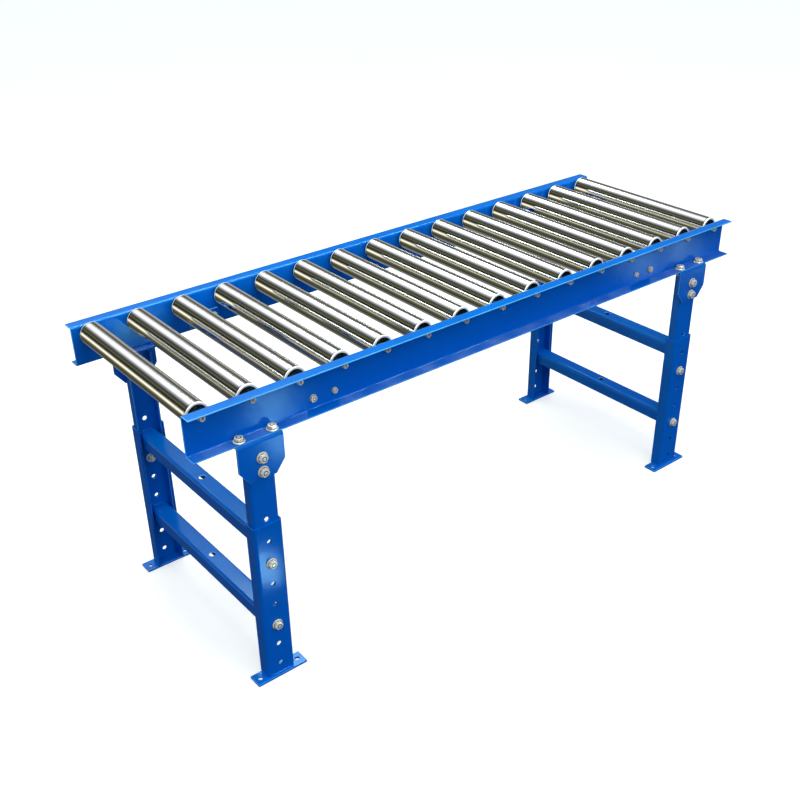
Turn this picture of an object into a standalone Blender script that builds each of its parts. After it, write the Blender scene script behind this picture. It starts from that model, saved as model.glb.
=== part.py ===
"""Gravity roller conveyor: two side rails carrying free-turning rollers, on two telescoping supports.

Metres, +Z up.  X runs along the bed, Y across it, and the feet stand on z = 0.
"front" is the -Y side, "left" is the -X end.
"""
import math

import bmesh
import bpy
from mathutils import Matrix, Vector

# ---- driving dimensions -----------------------------------------------------------------------

ROLLER_COUNT = 15
ROLLER_PITCH = 0.1016
ROLLER_RADIUS = 0.02415
ROLLER_WALL = 0.0015
ROLLER_LENGTH = 0.427
BEARING_RECESS = 0.0025        # depth of the bearing face inside the tube's end
BEARING_DEPTH = 0.0095         # how deep the pressed-in bearing and its cup are
BEARING_BORE = 0.0067          # clears the corners of the hexagonal axle

AXLE_FLATS = 0.0111            # across the flats of the hexagon
AXLE_HOLE_FLATS = 0.0119
AXLE_HEIGHT = 0.6325
AXLE_PROUD = 0.006             # how far the axle stands out of the rail's web

BED_LENGTH = 1.498
INNER_WIDTH = 0.447            # clear width between the two rails
RAIL_THICKNESS = 0.0027
RAIL_HEIGHT = 0.086
RAIL_FLANGE = 0.025            # from the web's outer face to the flange's lip
RAIL_TOP = 0.650
RAIL_BEND = 0.0040

CROSS_MEMBER_X = 0.456
CROSS_MEMBER_WIDTH = 0.044
CROSS_MEMBER_HEIGHT = 0.024
CROSS_MEMBER_TOP = 0.5945
CROSS_MEMBER_SHEET = 0.0025
CROSS_PLATE_WIDTH = 0.070      # the end plates that bolt to the rails
CROSS_PLATE_HEIGHT = 0.030
CROSS_PLATE_SHEET = 0.003
CROSS_BOLT_SPACING = 0.049
CROSS_BOLT_HEIGHT = 0.5875

SUPPORT_X = 0.6150
PIVOT_HEIGHT = 0.5255
LOCK_DROP = 0.030              # the lock bolt sits this far below the pivot bolt
TILT_LIMIT = math.radians(3.0)
TILT_SLOT_PLAY = 0.0006        # what the slot has over the lock bolt's swing, at each end

BRACKET_WIDTH = 0.098
BRACKET_PLATE = 0.005
BRACKET_FACE = 0.2532          # the bracket's outer face, from the middle of the bed
BRACKET_INNER_EDGE = 0.2125
BRACKET_BOTTOM = 0.480
BRACKET_BEND = 0.0065
BRACKET_TAPER_TOP = 0.507      # where the lower corners start to narrow
BRACKET_FOOT_WIDTH = 0.057

LEG_SHEET = 0.003
LEG_BEND = 0.0055
UPPER_LEG_WIDTH = 0.057
UPPER_LEG_TOP = 0.5455
UPPER_LEG_BOTTOM = 0.110
UPPER_LEG_LIP = 0.2240         # inner edge of its flanges, from the middle of the bed
LOWER_LEG_WIDTH = 0.064
LOWER_LEG_TOP = 0.375
LOWER_LEG_LIP = 0.2215
LEG_HOLE_PITCH = 0.0508
LOW_BOLT_HEIGHT = 0.131        # the lower of the two bolts that hold the leg's length
UPPER_LEG_HOLES = range(0, 6)  # counted in pitches from the low bolt
LOWER_LEG_HOLES = range(-2, 5)

BRACE_WIDTH = 0.040
BRACE_HEIGHT = 0.032
BRACE_SHEET = 0.0025
BRACE_BEND = 0.0055
BRACE_TOPS = {"upper": 0.355, "lower": 0.157}
BRACE_HOLE_RADIUS = 0.007

FOOT_LENGTH = 0.117
FOOT_WIDTH = 0.034
FOOT_PLATE = 0.005
FOOT_OUTER_EDGE = 0.2572
FOOT_HOLE_SPACING = 0.090
FOOT_HOLE_RADIUS = 0.005

BOLT_HOLE_RADIUS = 0.0052      # clearance hole for a 10 mm bolt
SMALL_HOLE_RADIUS = 0.0042     # clearance hole for an 8 mm bolt
PIVOT_SHANK_RADIUS = 0.0049
PIVOT_HEAD_FLATS = 0.016
PIVOT_HEAD_HEIGHT = 0.0064
PIVOT_NUT_HEIGHT = 0.008
PIVOT_THREAD_END = 0.002       # thread showing past the nut

GAP = 0.0003                   # between pieces that touch
BEND_STEPS = 3                 # flats that make a sheet bend
ROUND_STEPS = 18               # flats that make a roller
HOLE_STEPS = 10                # flats that make a drilled hole
SHARP_ANGLE = math.radians(35)
WELD_DISTANCE = 0.00001

RAIL_WEB_FACE = INNER_WIDTH / 2 + RAIL_THICKNESS
RAIL_BOTTOM = RAIL_TOP - RAIL_HEIGHT
UPPER_LEG_FACE = BRACKET_FACE - BRACKET_PLATE - GAP
LOWER_LEG_FACE = UPPER_LEG_FACE + GAP + LEG_SHEET
LOCK_HEIGHT = PIVOT_HEIGHT - LOCK_DROP
ENDS = {"left": -1, "right": 1}
SIDES = {"front": -1, "back": 1}
CUT_REACH = 0.30               # cutters across the bed reach this far each way
PLATE_CUT = 0.02               # length of a cutter through a foot plate
X, Y, Z = Vector((1, 0, 0)), Vector((0, 1, 0)), Vector((0, 0, 1))

# ---- scene ------------------------------------------------------------------------------------

for leftover in list(bpy.data.objects):
    bpy.data.objects.remove(leftover, do_unlink=True)

parts = bpy.data.collections.new("gravity_roller_conveyor")
cutters = bpy.data.collections.new("cutters")
for collection in (parts, cutters):
    bpy.context.scene.collection.children.link(collection)


def finish(name, colour, roughness, metallic):
    """A plain Principled material."""
    material = bpy.data.materials.new(name)
    material.use_nodes = True
    shader = material.node_tree.nodes["Principled BSDF"]
    shader.inputs["Base Color"].default_value = (*colour, 1.0)
    shader.inputs["Roughness"].default_value = roughness
    shader.inputs["Metallic"].default_value = metallic
    return material


BLUE = finish("powder_coat_blue", (0.004, 0.105, 0.500), 0.25, 0.0)
BRIGHT_STEEL = finish("bright_roller_steel", (0.62, 0.61, 0.58), 0.15, 1.0)
AXLE_STEEL = finish("zinc_axle_steel", (0.55, 0.52, 0.42), 0.32, 1.0)
BOLT_STEEL = finish("zinc_bolt_steel", (0.66, 0.63, 0.52), 0.28, 1.0)

# ---- mesh tools -------------------------------------------------------------------------------


def arc(centre, radius, start, end, steps=BEND_STEPS):
    """Points along an arc, from one angle in degrees to another."""
    angles = [math.radians(start + (end - start) * i / steps) for i in range(steps + 1)]
    return [(centre[0] + radius * math.cos(a), centre[1] + radius * math.sin(a)) for a in angles]


def channel_outline(width, depth, sheet, bend):
    """A U section: web on the local X axis, flanges standing in +Y, both bends rounded."""
    half = width / 2
    inner = bend - sheet
    outer = [(-half, depth)] + arc((bend - half, bend), bend, 180, 270)
    outer += arc((half - bend, bend), bend, 270, 360) + [(half, depth)]
    inside = [(half - sheet, depth)] + arc((half - bend, bend), inner, 360, 270)
    inside += arc((bend - half, bend), inner, 270, 180) + [(sheet - half, depth)]
    return outer + inside


def angle_outline(across, down, sheet, bend):
    """An L section: one arm from the corner in -X, the other from the corner in -Y."""
    inner = bend - sheet
    outer = [(-across, 0.0)] + arc((-bend, -bend), bend, 90, 0) + [(0.0, -down)]
    inside = [(-sheet, -down)] + arc((-bend, -bend), inner, 0, 90) + [(-across, -sheet)]
    return outer + inside


def evaluated_mesh(name, source):
    """The mesh that an object's curve or modifiers make, welded, and the object removed."""
    bpy.context.view_layer.update()
    mesh = bpy.data.meshes.new_from_object(source.evaluated_get(bpy.context.evaluated_depsgraph_get()))
    mesh.name = name
    bpy.data.objects.remove(source, do_unlink=True)
    shape = bmesh.new()
    shape.from_mesh(mesh)
    bmesh.ops.remove_doubles(shape, verts=shape.verts, dist=WELD_DISTANCE)
    shape.to_mesh(mesh)
    shape.free()
    return mesh


def extruded(name, outline, length):
    """A flat outline in local XY, thickened along local Z by the length, half each way."""
    curve = bpy.data.curves.new(name, "CURVE")
    curve.dimensions = "2D"
    curve.fill_mode = "BOTH"
    curve.extrude = length / 2
    spline = curve.splines.new("POLY")
    spline.points.add(len(outline) - 1)
    for point, (x, y) in zip(spline.points, outline):
        point.co = (x, y, 0.0, 1.0)
    spline.use_cyclic_u = True
    source = bpy.data.objects.new(name, curve)
    cutters.objects.link(source)
    return evaluated_mesh(name, source)


def turned(name, profile, steps):
    """A closed profile of (radius, height) turned about local Z."""
    line = bpy.data.meshes.new(name + "_profile")
    count = len(profile)
    line.from_pydata([(r, 0.0, z) for r, z in profile], [(i, (i + 1) % count) for i in range(count)], [])
    source = bpy.data.objects.new(name, line)
    cutters.objects.link(source)
    screw = source.modifiers.new("turn", "SCREW")
    screw.axis = "Z"
    screw.steps = steps
    screw.render_steps = steps
    screw.use_merge_vertices = True
    screw.merge_threshold = WELD_DISTANCE
    return rounded(evaluated_mesh(name, source))


def rounded(mesh):
    """Smooth shading on the round faces, sharp edges kept."""
    mesh.shade_smooth()
    mesh.set_sharp_from_angle(angle=SHARP_ANGLE)
    return mesh


def prism(shape, sides, radius, length, centre, direction):
    """Adds a capped prism or cylinder to a bmesh, its axis along a direction that is square to X."""
    turn = Matrix((X, direction.cross(X), direction)).transposed().to_4x4()
    bmesh.ops.create_cone(
        shape, cap_ends=True, segments=sides, radius1=radius, radius2=radius, depth=length,
        matrix=Matrix.Translation(centre) @ turn,
    )


def box_mesh(name, size):
    """A box centred on its origin."""
    shape = bmesh.new()
    bmesh.ops.create_cube(shape, size=1.0, matrix=Matrix.Diagonal((*size, 1.0)))
    mesh = bpy.data.meshes.new(name)
    shape.to_mesh(mesh)
    shape.free()
    return mesh


def across_flats(flats):
    """The corner radius of a hexagon with this size across its flats."""
    return flats / math.sqrt(3)


# ---- placing ----------------------------------------------------------------------------------


def axes(u, v):
    """The rotation that lays local X along u and local Y along v."""
    return Matrix((u, v, u.cross(v))).transposed().to_euler()


def pivot_empty(name, place, parent=None):
    """An empty on a joint's axis, which the moving pieces hang from."""
    empty = bpy.data.objects.new(name, None)
    empty["place"] = place
    empty.empty_display_size = 0.05
    empty.location = Vector(place) - (Vector(parent["place"]) if parent else Vector())
    empty.parent = parent
    parts.objects.link(empty)
    return empty


def put(name, mesh, material, place, turn=None, parent=None):
    """Links a mesh as a named part, at a place given in world coordinates."""
    part = bpy.data.objects.new(name, mesh)
    parts.objects.link(part)
    if not mesh.materials:
        mesh.materials.append(material)
    part.location = Vector(place) - (Vector(parent["place"]) if parent else Vector())
    part.parent = parent
    if turn:
        part.rotation_euler = turn
    return part


def tool(name, mesh, place=(0, 0, 0)):
    """A cutter: kept out of renders and drawn as wire."""
    cutter = bpy.data.objects.new(name, mesh)
    cutter.location = place
    cutter.hide_render = True
    cutter.display_type = "WIRE"
    cutters.objects.link(cutter)
    return cutter


def tool_of_prisms(name, prisms):
    """One cutter made of several prisms, each (sides, radius, length, centre, direction)."""
    shape = bmesh.new()
    for sides, radius, length, centre, direction in prisms:
        prism(shape, sides, radius, length, centre, direction)
    mesh = bpy.data.meshes.new(name)
    shape.to_mesh(mesh)
    shape.free()
    return tool(name, mesh)


def combine(part, cutter, operation="DIFFERENCE"):
    boolean = part.modifiers.new(cutter.name, "BOOLEAN")
    boolean.operation = operation
    boolean.solver = "EXACT"
    boolean.object = cutter


# ---- rollers and axles ------------------------------------------------------------------------


def roller_x(index):
    return (index - (ROLLER_COUNT - 1) / 2) * ROLLER_PITCH


def roller_mesh():
    """A tube with a bearing and its cup pressed into each end, open along the axle."""
    end = ROLLER_LENGTH / 2
    face = end - BEARING_RECESS
    back = face - BEARING_DEPTH
    bore = ROLLER_RADIUS - ROLLER_WALL
    upper = [(ROLLER_RADIUS, end), (bore, end), (bore, face), (BEARING_BORE, face), (BEARING_BORE, back)]
    upper.append((bore, back))
    lower = [(radius, -height) for radius, height in upper]
    profile = [upper[0], lower[0]] + lower[1:] + list(reversed(upper[1:]))
    return turned("roller", profile, ROUND_STEPS)


def axle_mesh():
    """A hexagonal bar as long as the bed is wide, plus what stands out of each rail."""
    shape = bmesh.new()
    length = 2 * (RAIL_WEB_FACE + AXLE_PROUD)
    prism(shape, 6, across_flats(AXLE_FLATS), length, (0, 0, 0), Z)
    mesh = bpy.data.meshes.new("axle")
    shape.to_mesh(mesh)
    shape.free()
    return mesh


def build_rollers():
    tube, bar = roller_mesh(), axle_mesh()
    for index in range(ROLLER_COUNT):
        place = (roller_x(index), 0.0, AXLE_HEIGHT)
        put(f"roller_{index + 1:02d}", tube, BRIGHT_STEEL, place, axes(X, -Z))
        put(f"axle_{index + 1:02d}", bar, AXLE_STEEL, place, axes(X, -Z))


# ---- rails and cross members ------------------------------------------------------------------


def cross_bolt_places():
    for end in ENDS.values():
        for offset in (-CROSS_BOLT_SPACING / 2, CROSS_BOLT_SPACING / 2):
            yield (end * CROSS_MEMBER_X + offset, 0.0, CROSS_BOLT_HEIGHT)


def build_rails():
    """Channels with their webs to the rollers and their flanges outwards, drilled in pairs.

    Their bottom flanges have no holes: the bolts drawn up there to the brackets fill them.
    """
    section = channel_outline(RAIL_HEIGHT, RAIL_FLANGE + RAIL_THICKNESS, RAIL_THICKNESS, RAIL_BEND)
    rail = extruded("rail", section, BED_LENGTH)
    corner = across_flats(AXLE_HOLE_FLATS)
    reach = 2 * CUT_REACH
    axle_holes = [(6, corner, reach, (roller_x(i), 0, AXLE_HEIGHT), Y) for i in range(ROLLER_COUNT)]
    cross_holes = [(HOLE_STEPS, SMALL_HOLE_RADIUS, reach, place, Y) for place in cross_bolt_places()]
    web_drill = tool_of_prisms("web_drill", axle_holes + cross_holes)
    cross_drill = tool_of_prisms("cross_member_drill", cross_holes)
    for name, side in SIDES.items():
        place = (0.0, side * INNER_WIDTH / 2, RAIL_TOP - RAIL_HEIGHT / 2)
        part = put(f"side_rail_{name}", rail, BLUE, place, axes(Z, side * Y))
        combine(part, web_drill)
    build_cross_members(cross_drill)


def build_cross_members(drill):
    """Channels open underneath, with a welded plate at each end that bolts to the rail's web."""
    length = INNER_WIDTH - 2 * GAP
    inner_length = length - 2 * CROSS_PLATE_SHEET
    sheet = CROSS_MEMBER_SHEET
    hollow_size = (CROSS_MEMBER_WIDTH - 2 * sheet, inner_length, CROSS_MEMBER_HEIGHT)
    middle = CROSS_MEMBER_TOP - CROSS_MEMBER_HEIGHT / 2
    plate_y = (length - CROSS_PLATE_SHEET) / 2
    for name, end in ENDS.items():
        x = end * CROSS_MEMBER_X
        body = box_mesh("cross_member", (CROSS_MEMBER_WIDTH, length - sheet, CROSS_MEMBER_HEIGHT))
        part = put(f"cross_member_{name}", body, BLUE, (x, 0.0, middle))
        for side_name, side in SIDES.items():
            plate = box_mesh("end_plate", (CROSS_PLATE_WIDTH, CROSS_PLATE_SHEET, CROSS_PLATE_HEIGHT))
            place = (x, side * plate_y, CROSS_BOLT_HEIGHT)
            combine(part, tool(f"end_plate_{name}_{side_name}", plate, place), "UNION")
        hollow = box_mesh("cross_member_hollow", hollow_size)
        combine(part, tool(f"hollow_{name}", hollow, (x, 0.0, middle - sheet)))
        combine(part, drill)


# ---- supports ---------------------------------------------------------------------------------


def taper_tools(x):
    """Wedges that narrow the bracket's lower corners to the leg's width."""
    half, foot = BRACKET_WIDTH / 2, BRACKET_FOOT_WIDTH / 2
    spare = 0.01
    slope = (BRACKET_TAPER_TOP - BRACKET_BOTTOM) / (half - foot)
    outline = [
        (foot - spare, BRACKET_BOTTOM - slope * spare),
        (half + spare, BRACKET_BOTTOM - slope * spare),
        (half + spare, BRACKET_TAPER_TOP + slope * spare),
    ]
    for sign in ENDS.values():
        points = [(sign * along, up) for along, up in outline]
        wedge = tool("bracket_taper", extruded("bracket_taper", points, 2 * CUT_REACH), (x, 0, 0))
        wedge.rotation_euler = axes(X, Z)
        yield wedge


def build_brackets(end, x, bolt_drill):
    """Bent plates bolted under the rails, which the legs hang from."""
    across = BRACKET_FACE - BRACKET_INNER_EDGE
    top = RAIL_BOTTOM - GAP
    section = angle_outline(across, top - BRACKET_BOTTOM, BRACKET_PLATE, BRACKET_BEND)
    plate = extruded("knee_bracket", section, BRACKET_WIDTH)
    wedges = list(taper_tools(x))
    for name, side in SIDES.items():
        place = (x, side * BRACKET_FACE, top)
        part = put(f"knee_bracket_{end}_{name}", plate, BLUE, place, axes(side * Y, Z))
        for cutter in (*wedges, bolt_drill):
            combine(part, cutter)


def pivot_bolt_mesh():
    """Hexagon bolt and nut, drawn up, its axis on local Z and its head upwards from z = 0."""
    grip = BRACKET_PLATE + GAP + LEG_SHEET + 2 * GAP
    shank = grip + PIVOT_NUT_HEIGHT + PIVOT_THREAD_END
    shape = bmesh.new()
    prism(shape, HOLE_STEPS, PIVOT_SHANK_RADIUS, shank + GAP, (0, 0, -shank / 2 + GAP / 2), Z)
    mesh = bpy.data.meshes.new("pivot_bolt")
    shape.to_mesh(mesh)
    shape.free()
    corner = across_flats(PIVOT_HEAD_FLATS)
    head = (6, corner, PIVOT_HEAD_HEIGHT, (0, 0, PIVOT_HEAD_HEIGHT / 2), Z)
    nut = (6, corner, PIVOT_NUT_HEIGHT, (0, 0, -grip - PIVOT_NUT_HEIGHT / 2), Z)
    return mesh, tool_of_prisms("bolt_head_and_nut", [head, nut])


def build_pivot_bolts(end, x):
    for name, side in SIDES.items():
        shank, ends = pivot_bolt_mesh()
        place = (x, side * (BRACKET_FACE + GAP), PIVOT_HEIGHT)
        part = put(f"pivot_bolt_{end}_{name}", shank, BOLT_STEEL, place, axes(X, -side * Z))
        ends.location = place
        ends.rotation_euler = axes(X, -side * Z)
        combine(part, ends, "UNION")


def leg_holes(x, steps):
    """One long drill for each numbered hole, through the front and the back leg."""
    heights = [LOW_BOLT_HEIGHT + step * LEG_HOLE_PITCH for step in steps]
    return [(HOLE_STEPS, BOLT_HOLE_RADIUS, 2 * CUT_REACH, (x, 0, height), Y) for height in heights]


def tilt_slot(x):
    """The short slot that lets the leg lean about its pivot while the lock bolt stays put."""
    swing = LOCK_DROP * math.sin(TILT_LIMIT) + TILT_SLOT_PLAY
    right = arc((swing, LOCK_HEIGHT), BOLT_HOLE_RADIUS, -90, 90, HOLE_STEPS // 2)
    left = arc((-swing, LOCK_HEIGHT), BOLT_HOLE_RADIUS, 90, 270, HOLE_STEPS // 2)
    slot = tool("tilt_slot", extruded("tilt_slot", right + left, 2 * CUT_REACH), (x, 0, 0))
    slot.rotation_euler = axes(X, Z)
    return slot


def leg(name, width, face, lip, bottom, top, x, side, parent):
    """A channel with its web outwards, standing between two heights."""
    section = channel_outline(width, face - lip, LEG_SHEET, LEG_BEND)
    mesh = extruded(name, section, top - bottom)
    place = (x, side * face, (top + bottom) / 2)
    return put(name, mesh, BLUE, place, axes(-side * X, -side * Y), parent)


def build_legs(end, x, pivot):
    pivot_hole = (HOLE_STEPS, BOLT_HOLE_RADIUS, 2 * CUT_REACH, (x, 0, PIVOT_HEIGHT), Y)
    upper_drill = tool_of_prisms(f"upper_leg_drill_{end}", leg_holes(x, UPPER_LEG_HOLES) + [pivot_hole])
    lower_drill = tool_of_prisms(f"lower_leg_drill_{end}", leg_holes(x, LOWER_LEG_HOLES))
    slot = tilt_slot(x)
    for name, side in SIDES.items():
        upper = leg(
            f"upper_leg_{end}_{name}", UPPER_LEG_WIDTH, UPPER_LEG_FACE, UPPER_LEG_LIP,
            UPPER_LEG_BOTTOM, UPPER_LEG_TOP, x, side, pivot,
        )
        combine(upper, upper_drill)
        combine(upper, slot)
        slide = pivot_empty(f"leg_slide_{end}_{name}", (x, side * LOWER_LEG_FACE, LOWER_LEG_TOP), pivot)
        lower = leg(
            f"lower_leg_{end}_{name}", LOWER_LEG_WIDTH, LOWER_LEG_FACE, LOWER_LEG_LIP,
            FOOT_PLATE + GAP, LOWER_LEG_TOP, x, side, slide,
        )
        combine(lower, lower_drill)
        build_foot(f"foot_plate_{end}_{name}", x, side, slide)


def build_foot(name, x, side, slide):
    """A flat plate under the leg, longer than the leg is wide, with an anchor hole at each end."""
    plate = box_mesh(name, (FOOT_LENGTH, FOOT_WIDTH, FOOT_PLATE))
    middle = side * (FOOT_OUTER_EDGE - FOOT_WIDTH / 2)
    part = put(name, plate, BLUE, (x, middle, FOOT_PLATE / 2), parent=slide)
    holes = [
        (HOLE_STEPS, FOOT_HOLE_RADIUS, PLATE_CUT, (x + offset, middle, 0), Z)
        for offset in (-FOOT_HOLE_SPACING / 2, FOOT_HOLE_SPACING / 2)
    ]
    combine(part, tool_of_prisms(name + "_drill", holes))


def build_braces(end, x, pivot):
    """Channels open underneath, welded between the two upper legs, each with a hole in its top."""
    section = channel_outline(BRACE_WIDTH, BRACE_HEIGHT, BRACE_SHEET, BRACE_BEND)
    length = 2 * (UPPER_LEG_FACE - LEG_SHEET - GAP)
    mesh = extruded("brace", section, length)
    for name, top in BRACE_TOPS.items():
        part = put(f"brace_{end}_{name}", mesh, BLUE, (x, 0.0, top), axes(X, -Z), pivot)
        hole = (HOLE_STEPS, BRACE_HOLE_RADIUS, BRACE_HEIGHT, (x, 0, top), Z)
        combine(part, tool_of_prisms(f"brace_drill_{end}_{name}", [hole]))


def build_support(end, sign):
    x = sign * SUPPORT_X
    pivot = pivot_empty(f"support_pivot_{end}", (x, 0.0, PIVOT_HEIGHT))
    heights = (PIVOT_HEIGHT, LOCK_HEIGHT)
    bolts = [(HOLE_STEPS, BOLT_HOLE_RADIUS, 2 * CUT_REACH, (x, 0, z), Y) for z in heights]
    build_brackets(end, x, tool_of_prisms(f"bracket_drill_{end}", bolts))
    build_pivot_bolts(end, x)
    build_legs(end, x, pivot)
    build_braces(end, x, pivot)


build_rollers()
build_rails()
for end_name, end_sign in ENDS.items():
    build_support(end_name, end_sign)
bpy.context.view_layer.update()
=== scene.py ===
"""The looks of a gravity roller conveyor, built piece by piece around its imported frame.

Metres, +Z up.  X runs along the bed and Y across it; "front" is the -Y side, "left" the -X end.
"""
import math
import random

import bmesh
import bpy
from mathutils import Matrix, Vector


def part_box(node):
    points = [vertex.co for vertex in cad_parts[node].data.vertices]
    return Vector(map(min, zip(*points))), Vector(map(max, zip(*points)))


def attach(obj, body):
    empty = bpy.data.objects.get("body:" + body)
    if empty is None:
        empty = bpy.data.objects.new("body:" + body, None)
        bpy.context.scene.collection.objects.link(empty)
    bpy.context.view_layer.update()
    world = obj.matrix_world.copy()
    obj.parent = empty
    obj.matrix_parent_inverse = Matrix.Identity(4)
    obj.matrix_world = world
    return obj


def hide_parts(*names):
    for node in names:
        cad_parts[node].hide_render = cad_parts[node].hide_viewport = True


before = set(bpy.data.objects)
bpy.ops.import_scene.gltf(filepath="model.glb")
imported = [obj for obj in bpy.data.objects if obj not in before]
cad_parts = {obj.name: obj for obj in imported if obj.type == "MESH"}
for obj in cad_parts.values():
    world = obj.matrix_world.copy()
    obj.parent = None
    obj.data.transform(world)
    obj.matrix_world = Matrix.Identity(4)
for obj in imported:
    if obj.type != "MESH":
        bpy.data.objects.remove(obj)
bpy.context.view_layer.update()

# ---- side rails -------------------------------------------------------------------------------
# Two channels bent from 2.7 mm steel sheet, flanges outwards, cut square at both ends. Hexagonal
# holes punched along the web hold the axles. They are powder coated bright blue after punching,
# so every edge is a little rounded and the coat has a fine orange peel.


class Value:
    """A socket of a finish's node tree, so that what feeds it can be written as a sum or product."""

    def __init__(self, tree, socket):
        self.tree = tree
        self.socket = socket

    def node(self, kind, settings=None, inputs=None, output=0):
        made = self.tree.nodes.new(kind)
        for key, setting in (settings or {}).items():
            if key == "stops":
                ramp = made.color_ramp.elements
                while len(ramp) < len(setting):
                    ramp.new(0.5)
                for element, (place, colour) in zip(ramp, setting):
                    element.position = place
                    element.color = (*colour, 1.0)
            else:
                setattr(made, key, setting)
        for key, value in (inputs or {}).items():
            if isinstance(value, Value):
                self.tree.links.new(value.socket, made.inputs[key])
            else:
                made.inputs[key].default_value = value
        return Value(self.tree, made.outputs[output])

    def math(self, operation, *values):
        return self.node("ShaderNodeMath", {"operation": operation}, dict(enumerate(values)))

    def __add__(self, other):
        return self.math("ADD", self, other)

    __radd__ = __add__

    def __sub__(self, other):
        return self.math("SUBTRACT", self, other)

    def __rsub__(self, other):
        return self.math("SUBTRACT", other, self)

    def __mul__(self, other):
        return self.math("MULTIPLY", self, other)

    __rmul__ = __mul__

    def __abs__(self):
        return self.math("ABSOLUTE", self)

    def noise(self, scale, detail=2.0, roughness=0.5, stretch=(1, 1, 1)):
        """Smooth random values about 0.5, finer with a higher scale, drawn out along an axis."""
        place = self.node(
            "ShaderNodeVectorMath", {"operation": "MULTIPLY"}, {0: self, 1: stretch}
        )
        return place.node(
            "ShaderNodeTexNoise", {},
            {"Vector": place, "Scale": scale, "Detail": detail, "Roughness": roughness},
        )

    def between(self, low, high):
        """0 below low, 1 above high, and a smooth step from one to the other."""
        return self.node(
            "ShaderNodeMapRange", {"interpolation_type": "SMOOTHSTEP"},
            {"Value": self, "From Min": low, "From Max": high},
        )

    def blend(self, low, high):
        """A colour that goes from low to high as this value goes from 0 to 1."""
        return self.node(
            "ShaderNodeMix", {"data_type": "RGBA"}, {0: self, 6: low, 7: high}, output=2
        )

    def bump(self, strength, distance):
        """This value as a height, for a shader's normal."""
        return self.node(
            "ShaderNodeBump", {}, {"Height": self, "Strength": strength, "Distance": distance}
        )


def new_finish(name, **constants):
    """A finish with its shader's constant sockets set: returns it, its place value and its shader."""
    material = bpy.data.materials.new(name)
    material.use_nodes = True
    tree = material.node_tree
    shader = tree.nodes["Principled BSDF"]
    for key, constant in constants.items():
        shader.inputs[key.replace("_", " ")].default_value = constant
    place = Value(tree, tree.nodes.new("ShaderNodeTexCoord").outputs["Object"])
    return material, place, shader


def feed(shader, **values):
    """Links what varies over a surface to the shader's sockets."""
    for key, value in values.items():
        value.tree.links.new(value.socket, shader.inputs[key.replace("_", " ")])


def rgb(red, green, blue):
    return (red, green, blue, 1.0)


def powder(name, dark, bright, gloss):
    """A baked powder coat: mottled between two blues, flecked with dust, with a fine orange peel."""
    coat, place, shader = new_finish(name, Metallic=0.0, IOR=1.45)
    shader.inputs["Specular Tint"].default_value = rgb(0.30, 0.75, 1.0)
    speck = place.noise(260.0, detail=1.0).between(0.70, 0.78)
    mottle = place.noise(9.0, detail=4.0).between(0.25, 0.75).blend(dark, bright)
    peel = place.noise(750.0, detail=1.5) * 0.35 + place.noise(130.0, detail=1.0)
    feed(
        shader,
        Base_Color=(speck * 0.10).blend(mottle, rgb(0.08, 0.26, 0.72)),
        Roughness=gloss + 0.12 * place.noise(22.0, detail=3.0) + 0.10 * speck,
        Normal=peel.bump(0.10, 0.0006),
    )
    return coat


powder_coat = powder("blue_powder_coat", rgb(0.0, 0.118, 0.545), rgb(0.0, 0.138, 0.615), 0.095)
# A lighter, rougher blue for the eased edges: a painted highlight along every lip, bend and hole of the
# coated pieces.
edge_highlight_coat = powder("blue_coat_painted_edge_highlight", rgb(0.07, 0.38, 0.90), rgb(0.10, 0.44, 0.95), 0.24)
coated = [powder_coat, edge_highlight_coat]

SHARP = math.radians(30)
EDGE = 0.0012                          # radius that the coat leaves on a cut edge
BEND_STEPS = 10


def arc(centre, radius, start, end, steps=BEND_STEPS):
    """Points along an arc, from one angle in degrees to another."""
    angles = [math.radians(start + (end - start) * i / steps) for i in range(steps + 1)]
    return [(centre[0] + radius * math.cos(a), centre[1] + radius * math.sin(a)) for a in angles]


def channel(width, depth, sheet, bend):
    """A U section, its web on the first axis and its flanges standing along the second."""
    half = width / 2
    inner = bend - sheet
    outer = [(-half, depth)] + arc((bend - half, bend), bend, 180, 270)
    outer += arc((half - bend, bend), bend, 270, 360) + [(half, depth)]
    inside = [(half - sheet, depth)] + arc((half - bend, bend), inner, 360, 270)
    inside += arc((bend - half, bend), inner, 270, 180) + [(sheet - half, depth)]
    return outer + inside


def swept(outline, length, origin, across, up):
    """A closed outline in the across-up plane at the origin, drawn half the length each way."""
    shape = bmesh.new()
    along = across.cross(up)
    start = origin - along * length / 2
    ring = [shape.verts.new(start + across * u + up * v) for u, v in outline]
    face = shape.faces.new(ring)
    grown = bmesh.ops.extrude_face_region(shape, geom=[face])
    tips = [part for part in grown["geom"] if isinstance(part, bmesh.types.BMVert)]
    bmesh.ops.translate(shape, verts=tips, vec=along * length)
    bmesh.ops.recalc_face_normals(shape, faces=shape.faces)
    return shape


def bar(sides, radius, length, centre, axis, twist=0.0):
    """A capped prism or cylinder along an axis."""
    shape = bmesh.new()
    turn = axis.to_track_quat("Z", "X").to_matrix().to_4x4() @ Matrix.Rotation(twist, 4, "Z")
    bmesh.ops.create_cone(
        shape, cap_ends=True, segments=sides, radius1=radius, radius2=radius, depth=length,
        matrix=Matrix.Translation(centre) @ turn,
    )
    return shape


def as_mesh(name, shapes):
    """One mesh of several bmesh shapes."""
    whole = bmesh.new()
    for shape in shapes:
        lump = bpy.data.meshes.new(name)
        shape.to_mesh(lump)
        shape.free()
        whole.from_mesh(lump)
        bpy.data.meshes.remove(lump)
    mesh = bpy.data.meshes.new(name)
    whole.to_mesh(mesh)
    whole.free()
    return mesh


def settled(piece):
    """Applies a piece's modifiers to its own mesh."""
    bpy.context.view_layer.update()
    seen = piece.evaluated_get(bpy.context.evaluated_depsgraph_get())
    mesh = bpy.data.meshes.new_from_object(seen)
    piece.modifiers.clear()
    piece.data = mesh


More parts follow.
